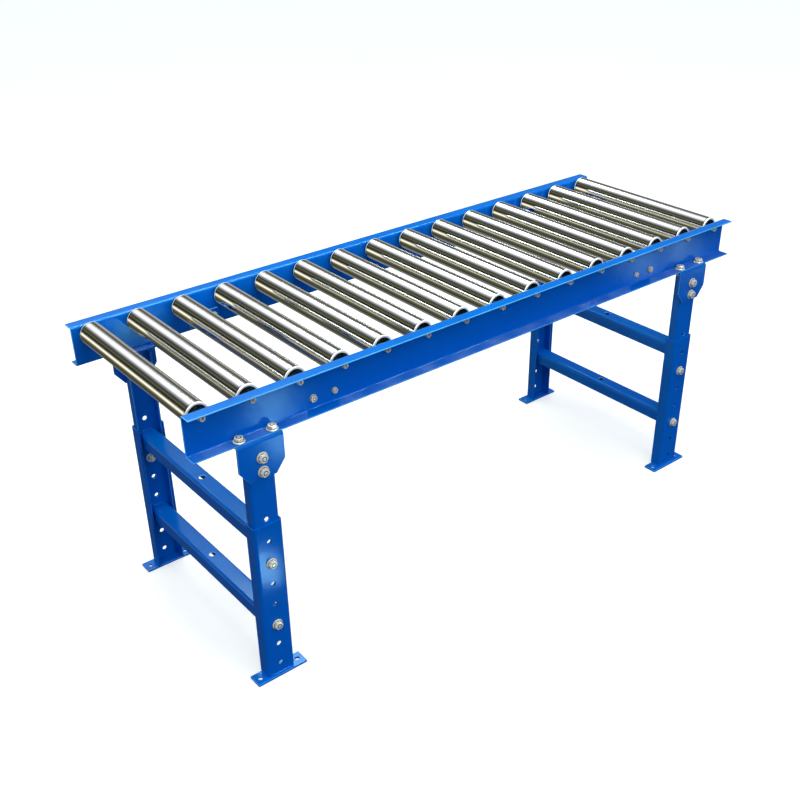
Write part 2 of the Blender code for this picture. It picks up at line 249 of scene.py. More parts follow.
def made(name, mesh, finishes, body, slot, replaces=(), edge=0.0, cutter=None):
    """Links a mesh as a piece: drilled, its edges eased in its last finish (on coated pieces a painted
    highlight), and riding on its body.
    """
    for finish in finishes:
        mesh.materials.append(finish)
    piece = bpy.data.objects.new(name, mesh)
    bpy.context.scene.collection.objects.link(piece)
    if cutter:
        drill = bpy.data.objects.new("drill", cutter)
        bpy.context.scene.collection.objects.link(drill)
        cut = piece.modifiers.new("drill", "BOOLEAN")
        cut.operation = "DIFFERENCE"
        cut.solver = "EXACT"
        cut.object = drill
        settled(piece)
        bpy.data.objects.remove(drill, do_unlink=True)
    if edge:
        ease = piece.modifiers.new("ease", "BEVEL")
        ease.width = edge
        ease.segments = 2
        ease.limit_method = "ANGLE"
        ease.angle_limit = SHARP
        # The eased edges take the last finish: on coated pieces, the painted edge highlight.
        ease.material = len(finishes) - 1
        settled(piece)
    piece.data.shade_smooth()
    piece.data.set_sharp_from_angle(angle=SHARP)
    weigh = piece.modifiers.new("weigh", "WEIGHTED_NORMAL")
    weigh.keep_sharp = True
    settled(piece)
    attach(piece, body)
    if replaces:
        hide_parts(*replaces)
    return piece


ENDS = {"left": -1, "right": 1}
SIDES = {"front": -1, "back": 1}
X, Y, Z = Vector((1, 0, 0)), Vector((0, 1, 0)), Vector((0, 0, 1))

ROLLERS = 15
RAIL_SHEET = 0.0027
RAIL_BEND = 0.0055
AXLE_FLATS = 0.0111
AXLE_HOLE_FLATS = 0.0119
SMALL_HOLE = 0.0042                    # radius of the hole for an 8 mm bolt
BOLT_HOLE = 0.0052                     # and for a 10 mm one
THROUGH = 0.02                         # length of a punch or drill, longer than any sheet is thick
AXLE_TURN = math.radians(30)           # an axle stands on a flat


def middle_of(node, axis=0):
    """Where the middle of a node's box is along an axis."""
    low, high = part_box(node)
    return (low[axis] + high[axis]) / 2


axle_x = [middle_of(f"axle_{i + 1:02d}") for i in range(ROLLERS)]
axle_z = middle_of("axle_01", 2)
member_x = {end: middle_of(f"cross_member_{end}") for end in ENDS}
support_x = {end: middle_of(f"upper_leg_{end}_front") for end in ENDS}
MEMBER_BOLTS = 0.049                   # between the two bolts at each end
MEMBER_BOLT_Z = 0.5875
FLANGE_BOLTS = 0.070                   # between the two bolts on each bracket
FLANGE_BOLT_Y = 0.2387
member_bolts = [
    (x + hand * MEMBER_BOLTS / 2, MEMBER_BOLT_Z) for x in member_x.values() for hand in ENDS.values()
]
flange_bolts = [x + hand * FLANGE_BOLTS / 2 for x in support_x.values() for hand in ENDS.values()]
rail_low, rail_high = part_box("side_rail_back")
rail_face = rail_low.y + RAIL_SHEET    # how far out the web's outer face is


def corner_radius(flats):
    """The corner radius of a hexagon with this size across its flats."""
    return flats / math.sqrt(3)


for name, side in SIDES.items():
    section = channel(rail_high.z - rail_low.z, rail_high.y - rail_low.y, RAIL_SHEET, RAIL_BEND)
    middle = Vector((0, side * rail_low.y, (rail_low.z + rail_high.z) / 2))
    rail = as_mesh("rail", [swept(section, rail_high.x - rail_low.x, middle, Z, side * Y)])
    punches = [
        bar(6, corner_radius(AXLE_HOLE_FLATS), THROUGH, (x, side * rail_low.y, axle_z), Y, AXLE_TURN)
        for x in axle_x
    ]
    punches += [bar(32, SMALL_HOLE, THROUGH, (x, side * rail_low.y, z), Y) for x, z in member_bolts]
    punches += [
        bar(32, BOLT_HOLE, THROUGH, (x, side * FLANGE_BOLT_Y, rail_low.z), Z) for x in flange_bolts
    ]
    piece = made(
        f"rail_{name}", rail, coated, "bed", "blue_powder_coat", [f"side_rail_{name}"],
        edge=EDGE, cutter=as_mesh("punches", punches),
    )
    piece.visible_glossy = False

# ---- cross members ----------------------------------------------------------------------------
# Two shallow channels, open underneath, that hold the rails apart. Each has a plate welded to
# either end, and two 8 mm bolts through each plate and the rail's web. Sheared and bent steel,
# coated with the rails.

MEMBER_SHEET = 0.0025
MEMBER_WIDTH = 0.044
MEMBER_HEIGHT = 0.024
MEMBER_BEND = 0.005
MEMBER_TOP = 0.5945                    # height of the pan's upper face
MEMBER_PLATE = 0.003
MEMBER_WELD = 0.016                    # half the length of the weld along each plate
WELD = 0.0022                          # radius of a small fillet weld
RIPPLE = 0.0028                        # between a weld's ridges
WELD_STEPS = 6                         # round a weld's quarter circle


def bead(start, end, across, up, radius=WELD):
    """A fillet weld in a corner, from start to end: a ridge rippled by the torch's pauses."""
    shape = bmesh.new()
    run = end - start
    count = max(3, int(run.length / RIPPLE) * 3)
    turns = [math.pi / 2 * k / WELD_STEPS for k in range(WELD_STEPS + 1)]
    rings = []
    for i in range(count + 1):
        t = i / count
        swell = radius * (0.86 + 0.14 * abs(math.sin(math.pi * t * run.length / RIPPLE)))
        swell *= min(1.0, 0.45 + 12 * min(t, 1 - t))
        corner = start + run * t
        spots = [corner + across * swell * math.cos(a) + up * swell * math.sin(a) for a in turns]
        ring = [shape.verts.new(spot) for spot in spots]
        rings.append([shape.verts.new(corner)] + ring)
    for one, two in zip(rings, rings[1:]):
        for k in range(len(one)):
            nxt = (k + 1) % len(one)
            shape.faces.new((one[k], one[nxt], two[nxt], two[k]))
    shape.faces.new(rings[0])
    shape.faces.new(rings[-1])
    bmesh.ops.recalc_face_normals(shape, faces=shape.faces)
    return shape


def plate(low, high):
    """A flat plate between two corners of its box."""
    shape = bmesh.new()
    size = high - low
    bmesh.ops.create_cube(
        shape, size=1.0, matrix=Matrix.Translation((low + high) / 2) @ Matrix.Diagonal((*size, 1.0))
    )
    return shape


for end in ENDS:
    low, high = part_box(f"cross_member_{end}")
    x = member_x[end]
    inner = high.y - MEMBER_PLATE
    section = channel(MEMBER_WIDTH, MEMBER_HEIGHT, MEMBER_SHEET, MEMBER_BEND)
    web = swept(section, 2 * inner, Vector((x, 0, MEMBER_TOP)), X, -Z)
    piece = made(
        f"cross_member_pan_{end}", as_mesh("pan", [web]), coated, "bed", "blue_powder_coat",
        [f"cross_member_{end}"], edge=EDGE,
    )
    piece.visible_glossy = False
    for name, side in SIDES.items():
        near, far = sorted((side * inner, side * high.y))
        tab = plate(Vector((low.x, near, low.z)), Vector((high.x, far, high.z)))
        holes = [bar(32, SMALL_HOLE, THROUGH, (px, side * inner, pz), Y) for px, pz in member_bolts]
        made(
            f"cross_member_tab_{end}_{name}", as_mesh("tab", [tab]), coated, "bed", "blue_powder_coat",
            edge=EDGE, cutter=as_mesh("holes", holes),
        )
        corner = Vector((x, side * inner, MEMBER_TOP))
        seam = bead(corner - X * MEMBER_WELD, corner + X * MEMBER_WELD, -side * Y, Z)
        made(
            f"cross_member_weld_{end}_{name}", as_mesh("weld", [seam]), coated, "bed",
            "blue_powder_coat",
        )

# ---- axles ------------------------------------------------------------------------------------
# Hexagonal bars of drawn steel, zinc plated with a warm cast. Each goes through both rails, where
# it is dropped into hexagonal holes, and is drilled at its ends for the tool that springs it in.

axle_steel, place, shader = new_finish("axle_steel", Metallic=0.35)
drawn = place.noise(90.0, detail=3.0, stretch=(1, 0.08, 1))
cloud = place.noise(160.0, detail=3.0)
tone = drawn.between(0.3, 0.7).blend(rgb(0.66, 0.62, 0.48), rgb(0.90, 0.87, 0.74))
feed(
    shader,
    Base_Color=(cloud.between(0.55, 0.75) * 0.35).blend(tone, rgb(0.50, 0.44, 0.28)),
    Roughness=0.30 + 0.22 * cloud,
    Normal=drawn.bump(0.12, 0.0003),
)

AXLE_BORE = 0.0026
AXLE_BORE_DEPTH = 0.012
AXLE_EDGE = 0.0006
axle_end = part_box("axle_01")[1].y

for i, x in enumerate(axle_x):
    middle = Vector((x, 0, axle_z))
    rod = bar(6, corner_radius(AXLE_FLATS), 2 * axle_end, middle, Y, AXLE_TURN)
    bores = [
        bar(24, AXLE_BORE, 2 * AXLE_BORE_DEPTH, (x, side * axle_end, axle_z), Y)
        for side in SIDES.values()
    ]
    made(
        f"axle_bar_{i + 1:02d}", as_mesh("rod", [rod]), [axle_steel], "bed", "axle_steel",
        [f"axle_{i + 1:02d}"], edge=AXLE_EDGE, cutter=as_mesh("bores", bores),
    )

# ---- rollers ----------------------------------------------------------------------------------
# Steel tubes of 48.3 mm, bright zinc plated and polished, their ends rolled in over a pressed
# bearing cup. The bearing's outer race turns with the tube, and its bore clears the axle bar.

tube_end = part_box("roller_01")[1].y
RIM = 0.0024                           # how far in from each end the rolled rim reaches
GROOVE = 0.0046                        # where the tool left a groove round the tube
GROOVE_HALF = 0.0007

tube_steel, place, shader = new_finish("roller_steel", Metallic=1.0)
along = place.node("ShaderNodeSeparateXYZ", {}, {0: place}, output=1)
rings = {"noise_dimensions": "1D"}
lathe = along.node("ShaderNodeTexNoise", rings, {"W": along, "Scale": 900.0, "Detail": 4.0})
band = along.node("ShaderNodeTexNoise", rings, {"W": along, "Scale": 60.0, "Detail": 2.0})
from_end = tube_end - abs(along)
# The rolled rim at each end: its near-white colour is a painted highlight on the lip, and it is made
# rougher and less metallic.
rim = 1 - from_end.between(RIM - 0.0004, RIM + 0.0004)
groove = 1 - abs(from_end - GROOVE).between(GROOVE_HALF, 2 * GROOVE_HALF)
scuff = place.noise(38.0, detail=5.0, roughness=0.65)
worn = (scuff.between(0.52, 0.70) * 0.30).blend(rgb(0.84, 0.83, 0.80), rgb(0.68, 0.67, 0.62))
polished = (lathe.between(0.35, 0.65) * 0.25).blend(worn, rgb(0.92, 0.91, 0.88))
# The groove is also painted dark: painted shade in the groove round each end.
rolled = (groove * 0.75).blend(polished, rgb(0.16, 0.16, 0.14))
feed(
    shader,
    Base_Color=rim.blend(rolled, rgb(0.97, 0.96, 0.92)),
    Metallic=1 - 0.65 * rim,
    Roughness=(
        0.075 + 0.04 * band + 0.06 * scuff.between(0.45, 0.75) + 0.02 * lathe + 0.42 * rim
    ),
    Normal=(0.3 * lathe + 0.6 * band - 4.0 * groove).bump(0.006, 0.0002),
)

# The bearing cups: a near-black steel, mottled, that is painted shade for the recess inside each tube's
# end.
cup_steel, place, shader = new_finish("bearing_steel", Metallic=1.0)
recess_shade_noise = place.noise(220.0, detail=4.0)
feed(
    shader,
    Base_Color=recess_shade_noise.between(0.35, 0.7).blend(rgb(0.020, 0.030, 0.026), rgb(0.085, 0.105, 0.090)),
    Roughness=0.26 + 0.28 * recess_shade_noise,
    Normal=recess_shade_noise.bump(0.10, 0.0003),
)

TUBE_RADIUS = 0.02415
TUBE_WALL = 0.0015
LIP_RADIUS = 0.0016                    # the rolled-in end's outer round
LIP_INNER = 0.0202                     # the hole that the rolled end leaves
LIP_SHEET = 0.0013                     # thickness of the rolled end
CUP_DEPTH = 0.0095
CUP_SET_IN = 0.0014                    # how far inside the tube's end the cup's face is
CUP_PLAY = 0.0002
BEARING_BORE = 0.0068


def turned(profile, origin, axis, steps=48):
    """A solid turned about an axis from (radius, height) points, closed on the axis or as a ring."""
    shape = bmesh.new()
    side = X if abs(axis.x) < 0.9 else Y
    verts = [shape.verts.new(origin + side * r + axis * h) for r, h in profile]
    closed = profile[0][0] > 0 and profile[-1][0] > 0
    pairs = list(zip(verts, verts[1:])) + ([(verts[-1], verts[0])] if closed else [])
    edges = [shape.edges.new(pair) for pair in pairs]
    bmesh.ops.spin(
        shape, geom=verts + edges, cent=origin, axis=axis, angle=math.tau, steps=steps,
        use_merge=True, use_duplicate=False,
    )
    bmesh.ops.remove_doubles(shape, verts=shape.verts, dist=1e-6)
    bmesh.ops.recalc_face_normals(shape, faces=shape.faces)
    return shape


def tube_profile(end):
    """The tube's wall with both ends rolled in, from its inside round to its outside."""
    half = arc((TUBE_RADIUS - LIP_RADIUS, end - LIP_RADIUS), LIP_RADIUS, 0, 90, 8)
    half += [(LIP_INNER, end), (LIP_INNER - 0.0003, end - 0.0004), (LIP_INNER, end - 0.0011)]
    half += [(TUBE_RADIUS - TUBE_WALL, end - LIP_SHEET)]
    mirrored = [(radius, -height) for radius, height in reversed(half)]
    return half + mirrored


def cup_profile(face):
    """The pressed cup and the bearing in it, from the tube's wall in to the bore."""
    wall = TUBE_RADIUS - TUBE_WALL - CUP_PLAY
    return [
        (wall, face - CUP_DEPTH), (wall, face), (wall - 0.0016, face), (wall - 0.0026, face - 0.0020),
        (0.0150, face - 0.0026), (0.0142, face - 0.0012), (0.0122, face - 0.0010),
        (0.0116, face - 0.0024), (0.0094, face - 0.0024), (0.0088, face - 0.0008),
        (BEARING_BORE, face - 0.0008), (BEARING_BORE, face - CUP_DEPTH),
    ]


random.seed(4)
for i, x in enumerate(axle_x):
    roller = f"roller_{i + 1:02d}"
    stopped_at = Matrix.Rotation(random.uniform(0, math.tau), 4, "Y")
    turned_by = Matrix.Translation((x, 0, axle_z)) @ stopped_at
    tube = turned(tube_profile(tube_end), Vector(), Y, 96)
    cups = [
        turned([(r, side * h) for r, h in cup_profile(tube_end - CUP_SET_IN)], Vector(), Y, 64)
        for side in SIDES.values()
    ]
    for name, shapes, finish in (("tube", [tube], tube_steel), ("bearings", cups, cup_steel)):
        mesh = as_mesh(name, shapes)
        mesh.transform(turned_by)
        stands_for = [roller] if name == "tube" else ()
        made(f"roller_{name}_{i + 1:02d}", mesh, [finish], roller, "roller_steel", stands_for)

# ---- knee brackets ----------------------------------------------------------------------------
# Plates of 5 mm steel bent once under the rail and bolted up to its bottom flange. Their lower
# corners are sheared off to the leg's width. Coated with the rails.

BRACKET_PLATE = 0.005
BRACKET_BEND = 0.0075
TAPER_TOP = 0.507
TAPER_FOOT = 0.057
PIVOT_Z = 0.5255
LOCK_Z = 0.4955
PLATE_EDGE = 0.0006                    # radius that the coat leaves on a sheared plate
SPARE = 0.01                           # how far the shears' cut runs past a corner


def angle_section(across, down, sheet, bend):
    """An L section: one arm back from the corner, the other down from it."""
    inner = bend - sheet
    outer = [(-across, 0.0)] + arc((-bend, -bend), bend, 90, 0) + [(0.0, -down)]
    inside = [(-sheet, -down)] + arc((-bend, -bend), inner, 0, 90) + [(-across, -sheet)]
    return outer + inside


for end in ENDS:
    for name, side in SIDES.items():
        low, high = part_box(f"knee_bracket_{end}_{name}")
        outer = max(abs(low.y), abs(high.y))
        inner = min(abs(low.y), abs(high.y))
        x = support_x[end]
        section = angle_section(outer - inner, high.z - low.z, BRACKET_PLATE, BRACKET_BEND)
        bent = swept(section, high.x - low.x, Vector((x, side * outer, high.z)), side * Y, Z)
        half, foot = (high.x - low.x) / 2, TAPER_FOOT / 2
        slope = (TAPER_TOP - low.z) / (half - foot)
        cuts = []
        for hand in ENDS.values():
            wedge = [
                (hand * (foot - SPARE), low.z - slope * SPARE),
                (hand * (half + SPARE), low.z - slope * SPARE),
                (hand * (half + SPARE), TAPER_TOP + slope * SPARE),
            ]
            cuts.append(swept(wedge, 2 * THROUGH, Vector((x, side * (outer - SPARE), 0)), X, Z))
        cuts += [
            bar(32, BOLT_HOLE, 1.5 * THROUGH, (x, side * outer, z), Y) for z in (PIVOT_Z, LOCK_Z)
        ]
        for hand in ENDS.values():
            spot = (x + hand * FLANGE_BOLTS / 2, side * FLANGE_BOLT_Y, high.z)
            cuts.append(bar(32, BOLT_HOLE, 1.5 * THROUGH, spot, Z))
        made(
            f"knee_plate_{end}_{name}", as_mesh("knee_plate", [bent]), coated, "bed",
            "blue_powder_coat", [f"knee_bracket_{end}_{name}"], edge=PLATE_EDGE,
            cutter=as_mesh("cuts", cuts),
        )

# ---- bolts ------------------------------------------------------------------------------------
# Cold-formed hexagon bolts with a flange under the head, and flanged nuts, zinc plated a pale
# straw colour, with painted shade in the heads' grooves and round their flanges. 10 mm at the knees,
# legs and rail flanges, 8 mm at the cross members.

bolt_zinc, place, shader = new_finish("bolt_zinc", Metallic=0.22)
stain = place.noise(210.0, detail=4.0, roughness=0.6)
passivate = stain.between(0.3, 0.7).blend(rgb(0.98, 0.95, 0.82), rgb(0.88, 0.83, 0.64))
pits = place.noise(520.0, detail=2.0).between(0.62, 0.75)
feed(
    shader,
    Base_Color=(pits * 0.5).blend(passivate, rgb(0.30, 0.27, 0.20)),
    Roughness=0.14 + 0.20 * stain,
    Normal=stain.bump(0.14, 0.0003),
)

# A near-black finish for the heads' grooves and the thin rings round the bolts: painted shade.
bolt_painted_shade, place, shader = new_finish("bolt_painted_shade", Metallic=0.2)
shade_noise = place.noise(300.0, detail=3.0)
feed(
    shader,
    Base_Color=shade_noise.blend(rgb(0.035, 0.035, 0.025), rgb(0.12, 0.11, 0.08)),
    Roughness=0.45 + 0.25 * shade_noise,
    Normal=shade_noise.bump(0.10, 0.0002),
)

# The top of a head, from its rim in: a ring's radius as a share of the flats, and its depth.
GROOVED_TOP = [(0.455, 0.0), (0.330, 0.0), (0.300, 0.0012), (0.235, 0.0012), (0.205, 0.0)]
GROOVE_RINGS = (3, 4, 5)               # of a head's rings of faces, those in the groove, which take the painted shade
CROWN = 0.56                           # how steeply the corners are turned down
FLAT_STEPS = 8                         # faces along each flat
RIM_DROP = 0.0003


def hexagon(flats, height, origin, axis):
    """A hexagon head: six flats with the corners turned down to a cone at the top."""
    shape = bmesh.new()
    side = axis.cross(X if abs(axis.x) < 0.9 else Z).normalized()
    other = axis.cross(side)
    corner = corner_radius(flats)
    drop = (corner - flats / 2) * CROWN
    low_ring, high_ring = [], []
    cap_rings = [[] for _ in GROOVED_TOP]
    for i in range(6 * FLAT_STEPS):
        angle = math.tau * i / (6 * FLAT_STEPS)
        within = (angle + math.pi / 6) % (math.pi / 3) - math.pi / 6
        radius = flats / 2 / math.cos(within)
        way = side * math.cos(angle) + other * math.sin(angle)
        excess = (radius - flats / 2) / (corner - flats / 2)
        rise = height - drop * excess - RIM_DROP
        low_ring.append(shape.verts.new(origin + way * radius))
        high_ring.append(shape.verts.new(origin + way * radius + axis * rise))
        for ring, (share, depth) in zip(cap_rings, GROOVED_TOP):
            ring.append(shape.verts.new(origin + way * flats * share + axis * (height - depth)))
    rings = [low_ring, high_ring, *cap_rings]
    for level, (one, two) in enumerate(zip(rings, rings[1:])):
        for i in range(len(one)):
            j = (i + 1) % len(one)
            face = shape.faces.new((one[i], one[j], two[j], two[i]))
            # The groove's faces take the second finish, painted shade.
            face.material_index = int(level in GROOVE_RINGS)
    shape.faces.new(rings[-1])
    shape.faces.new(low_ring)
    bmesh.ops.recalc_face_normals(shape, faces=shape.faces)
    return shape


COLLAR_RIM = 0.0007                    # thickness of the flange under a head, at its rim
COLLAR = 0.0019                        # and where it meets the head
COLLAR_IN = 0.80                       # radius of the flange's top, as a share of its rim's
NUT = 0.48                             # a nut's height as a share of its flats
NUT_LIFT = 0.0006                      # how far a nut's flange stands into its washer's dish
TIP = 0.0100                           # length of the shank past the joint
TIP_CHAMFER = 0.0008


def shade_line(low_radius, high_radius, low, high, seat, axis):
    """A ring in the bolt's second finish: painted shade that shows as a dark line round a bolt."""
    shape = turned([(0.0, low), (low_radius, low), (high_radius, high), (0.0, high)], seat, axis)
    for face in shape.faces:
        face.material_index = 1
    return shape


def bolt(seat, axis, grip, flats, height, flange, shank):
    """A flanged bolt: its head's seat at a point, its shank the other way, its nut past the grip."""
    collar = [
        (0.0, 0.0), (flange, 0.0), (flange, COLLAR_RIM), (flange * COLLAR_IN, COLLAR), (0.0, COLLAR),
    ]
    tip = [(0.0, 0.0), (shank, 0.0), (shank, TIP - TIP_CHAMFER), (shank * 0.8, TIP), (0.0, TIP)]
    under = seat - axis * grip
    return [
        turned(collar, seat, axis),
        hexagon(flats, height, seat, axis),
        # Two thin rings of painted shade: round the flange's seat and where the head meets the flange.
        shade_line(flange + 0.0006, flange + 0.0006, 0.0, 0.0003, seat, axis),
        shade_line(flats * 0.60, flats * 0.56, COLLAR, COLLAR + 0.0006, seat, axis),
        turned([(r, h - NUT_LIFT) for r, h in collar], under, -axis),
        hexagon(flats, flats * NUT, under, -axis),
        turned(tip, under, -axis, 32),
    ]


def fastened(name, lumps, body, replaces=()):
    """Makes a bolt set of its lumps, their second finish, painted shade, on the grooves and the rings
    round the heads.
    """
    made(name, as_mesh(name, lumps), [bolt_zinc, bolt_painted_shade], body, "zinc_bolt_steel", replaces)


LEG_SHEET = 0.003
GAP = 0.0003                           # left between pieces that touch
BIG_BOLT = dict(flats=0.0158, height=0.0088, flange=0.0116, shank=0.0048)
FLANGE_BOLT = dict(flats=0.0158, height=0.0084, flange=0.0114, shank=0.0048)
MEMBER_FLATS = {True: 0.0128, False: 0.0100}     # the outboard bolt of each pair is the bigger
bracket_face = max(abs(corner.y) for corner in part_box("knee_bracket_left_front"))
knee_grip = BRACKET_PLATE + LEG_SHEET + 3 * GAP

for end in ENDS:
    x = support_x[end]
    for name, side in SIDES.items():
        for job, z in {"pivot": PIVOT_Z, "lock": LOCK_Z}.items():
            seat = Vector((x, side * (bracket_face + GAP), z))
            stands_for = [f"pivot_bolt_{end}_{name}"] if job == "pivot" else ()
            lumps = bolt(seat, side * Y, knee_grip + GAP, **BIG_BOLT)
            fastened(f"{job}_bolt_set_{end}_{name}", lumps, "bed", stands_for)
        for hand_name, hand in ENDS.items():
            spot = x + hand * FLANGE_BOLTS / 2
            seat = Vector((spot, side * FLANGE_BOLT_Y, rail_low.z + RAIL_SHEET))
            lumps = bolt(seat, Z, RAIL_SHEET + BRACKET_PLATE + 2 * GAP, **FLANGE_BOLT)
            fastened(f"flange_bolt_{end}_{name}_{hand_name}", lumps, "bed")
            spot = member_x[end] + hand * MEMBER_BOLTS / 2
            seat = Vector((spot, side * rail_face, MEMBER_BOLT_Z))
            flats = MEMBER_FLATS[hand == ENDS[end]]
            grip = RAIL_SHEET + MEMBER_PLATE + 2 * GAP
            lumps = bolt(seat, side * Y, grip, flats, 0.0048, flats * 0.64, 0.0036)
            fastened(f"cross_member_bolt_{end}_{name}_{hand_name}", lumps, "bed")

# ---- upper legs -------------------------------------------------------------------------------
# Channels of 3 mm sheet, web outwards, bolted at their tops to the knee brackets. A row of holes
# at 2 in pitch sets the height of the legs outside them. A short slot lets the support lean.

LEG_BEND = 0.0065
LEG_PITCH = 0.0508
LOW_BOLT_Z = 0.131
UPPER_HOLES = range(0, 6)
LEAN = math.radians(3.0)
SLOT_PLAY = 0.0006
slot_reach = (PIVOT_Z - LOCK_Z) * math.sin(LEAN) + SLOT_PLAY


def leg_mesh(low, high, sheet, bend, side):
    """A channel between two heights, its web outwards."""
    outer, inner = max(abs(low.y), abs(high.y)), min(abs(low.y), abs(high.y))
    section = channel(high.x - low.x, outer - inner, sheet, bend)
    middle = Vector(((low.x + high.x) / 2, side * outer, (low.z + high.z) / 2))
    return swept(section, high.z - low.z, middle, -side * X, -side * Y), outer


for end in ENDS:
    for name, side in SIDES.items():
        low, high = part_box(f"upper_leg_{end}_{name}")
        x = support_x[end]
        shape, outer = leg_mesh(low, high, LEG_SHEET, LEG_BEND, side)
        heights = [LOW_BOLT_Z + step * LEG_PITCH for step in UPPER_HOLES] + [PIVOT_Z]
        cuts = [bar(32, BOLT_HOLE, THROUGH, (x, side * outer, z), Y) for z in heights]
        slot = arc((slot_reach, LOCK_Z), BOLT_HOLE, -90, 90)
        slot += arc((-slot_reach, LOCK_Z), BOLT_HOLE, 90, 270)
        cuts.append(swept(slot, THROUGH, Vector((x, side * outer, 0)), X, Z))
        made(
            f"inner_leg_{end}_{name}", as_mesh("inner_leg", [shape]), coated, f"support_{end}",
            "blue_powder_coat", [f"upper_leg_{end}_{name}"], edge=EDGE, cutter=as_mesh("cuts", cuts),
        )

# ---- braces -----------------------------------------------------------------------------------
# Channels open underneath that tie the two upper legs of a support together. Their ends sit
# inside the legs and are welded there; each has one hole in the middle of its top.

BRACE_SHEET = 0.0025
BRACE_BEND = 0.0065
BRACE_HOLE = 0.007
BRACE_WELD = 0.0028

for end in ENDS:
    for level in ("upper", "lower"):
        low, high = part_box(f"brace_{end}_{level}")
        x = support_x[end]
        section = channel(high.x - low.x, high.z - low.z, BRACE_SHEET, BRACE_BEND)
        shape = swept(section, high.y - low.y, Vector((x, 0, high.z)), X, -Z)
        hole = bar(40, BRACE_HOLE, THROUGH, (x, 0, high.z), Z)
        made(
            f"brace_channel_{end}_{level}", as_mesh("brace_channel", [shape]), coated, f"support_{end}",
            "blue_powder_coat", [f"brace_{end}_{level}"], edge=EDGE, cutter=as_mesh("hole", [hole]),
        )
        for name, side in SIDES.items():
            reach = (high.x - low.x) / 2 - BRACE_BEND
            corner = Vector((x, side * high.y, high.z))
            seam = bead(corner - X * reach, corner + X * reach, -side * Y, Z, BRACE_WELD)
            made(
                f"brace_weld_{end}_{level}_{name}", as_mesh("weld", [seam]), coated, f"support_{end}",
                "blue_powder_coat",
            )

# ---- lower legs and foot plates ---------------------------------------------------------------
# Wider channels that slide on the upper legs and are held by two bolts each. A plate with an
# anchor hole at either end is welded under each, with a fillet round the channel.

LOWER_HOLES = range(-2, 5)
LENGTH_BOLTS = (0, 3)                  # counted in pitches from the low bolt
FOOT_HOLE = 0.005
FOOT_HOLES = 0.090                     # between the two holes in a plate
FOOT_WELD = 0.026                      # how far in from the web the welds run along the flanges

for end in ENDS:
    for name, side in SIDES.items():
        body = f"leg_{end}_{name}"
        x = support_x[end]
        low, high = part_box(f"lower_leg_{end}_{name}")
        shape, outer = leg_mesh(low, high, LEG_SHEET, LEG_BEND, side)
        cuts = [
            bar(32, BOLT_HOLE, THROUGH, (x, side * outer, LOW_BOLT_Z + step * LEG_PITCH), Y)
            for step in LOWER_HOLES
        ]
        made(
            f"outer_leg_{end}_{name}", as_mesh("outer_leg", [shape]), [powder_coat], body,
            "blue_powder_coat", [f"lower_leg_{end}_{name}"], edge=EDGE / 2,
            cutter=as_mesh("cuts", cuts),
        )
        foot_low, foot_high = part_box(f"foot_plate_{end}_{name}")
        foot_y = middle_of(f"foot_plate_{end}_{name}", 1)
        anchors = [
            bar(32, FOOT_HOLE, 1.5 * THROUGH, (x + hand * FOOT_HOLES / 2, foot_y, 0), Z)
            for hand in ENDS.values()
        ]
        made(
            f"foot_{end}_{name}", as_mesh("foot", [plate(foot_low, foot_high)]), coated, body,
            "blue_powder_coat", [f"foot_plate_{end}_{name}"], edge=PLATE_EDGE,
            cutter=as_mesh("anchors", anchors),
        )
        half = (high.x - low.x) / 2
        floor_z = foot_high.z
        seams = [
            bead(
                Vector((x - half + LEG_BEND, side * outer, floor_z)),
                Vector((x + half - LEG_BEND, side * outer, floor_z)), side * Y, Z,
            ),
        ]
        for hand in ENDS.values():
            edge_x = x + hand * half
            near = Vector((edge_x, side * (outer - LEG_BEND), floor_z))
            far = Vector((edge_x, side * (outer - FOOT_WELD), floor_z))
            seams.append(bead(near, far, hand * X, Z))
        made(
            f"foot_weld_{end}_{name}", as_mesh("foot_weld", seams), coated, body, "blue_powder_coat"
        )
        for step in LENGTH_BOLTS:
            seat = Vector((x, side * outer, LOW_BOLT_Z + step * LEG_PITCH))
            lumps = bolt(seat, side * Y, 2 * LEG_SHEET + 2 * GAP, **BIG_BOLT)
            fastened(f"length_bolt_{end}_{name}_{step}", lumps, f"support_{end}")

# ---- floor, light and camera ------------------------------------------------------------------
# A pale studio floor that the feet stand on, soft light from above, and the viewing camera. The
# polished tubes mirror the room, which is a ring of plain tones round the bed's long direction.

FLOOR_SIZE = 60.0
FLOOR_DROP = 0.0005                    # keeps the floor just under the feet
floor_mesh = bpy.data.meshes.new("floor")
floor_shape = bmesh.new()
bmesh.ops.create_grid(floor_shape, x_segments=1, y_segments=1, size=FLOOR_SIZE / 2)
floor_shape.to_mesh(floor_mesh)
floor_shape.free()
floor = bpy.data.objects.new("floor", floor_mesh)
floor.location.z = -FLOOR_DROP
bpy.context.scene.collection.objects.link(floor)
floor.visible_diffuse = False
floor.visible_glossy = False
floor.visible_shadow = False
floor_finish, place, shader = new_finish("studio_floor", Roughness=0.9)
shader.inputs["Specular IOR Level"].default_value = 0.0
shader.inputs["Emission Color"].default_value = rgb(1.0, 0.99, 0.97)
shader.inputs["Emission Strength"].default_value = 0.46
feed(shader, Base_Color=place.noise(0.8).blend(rgb(0.66, 0.66, 0.66), rgb(0.69, 0.69, 0.69)))
floor_mesh.materials.append(floor_finish)

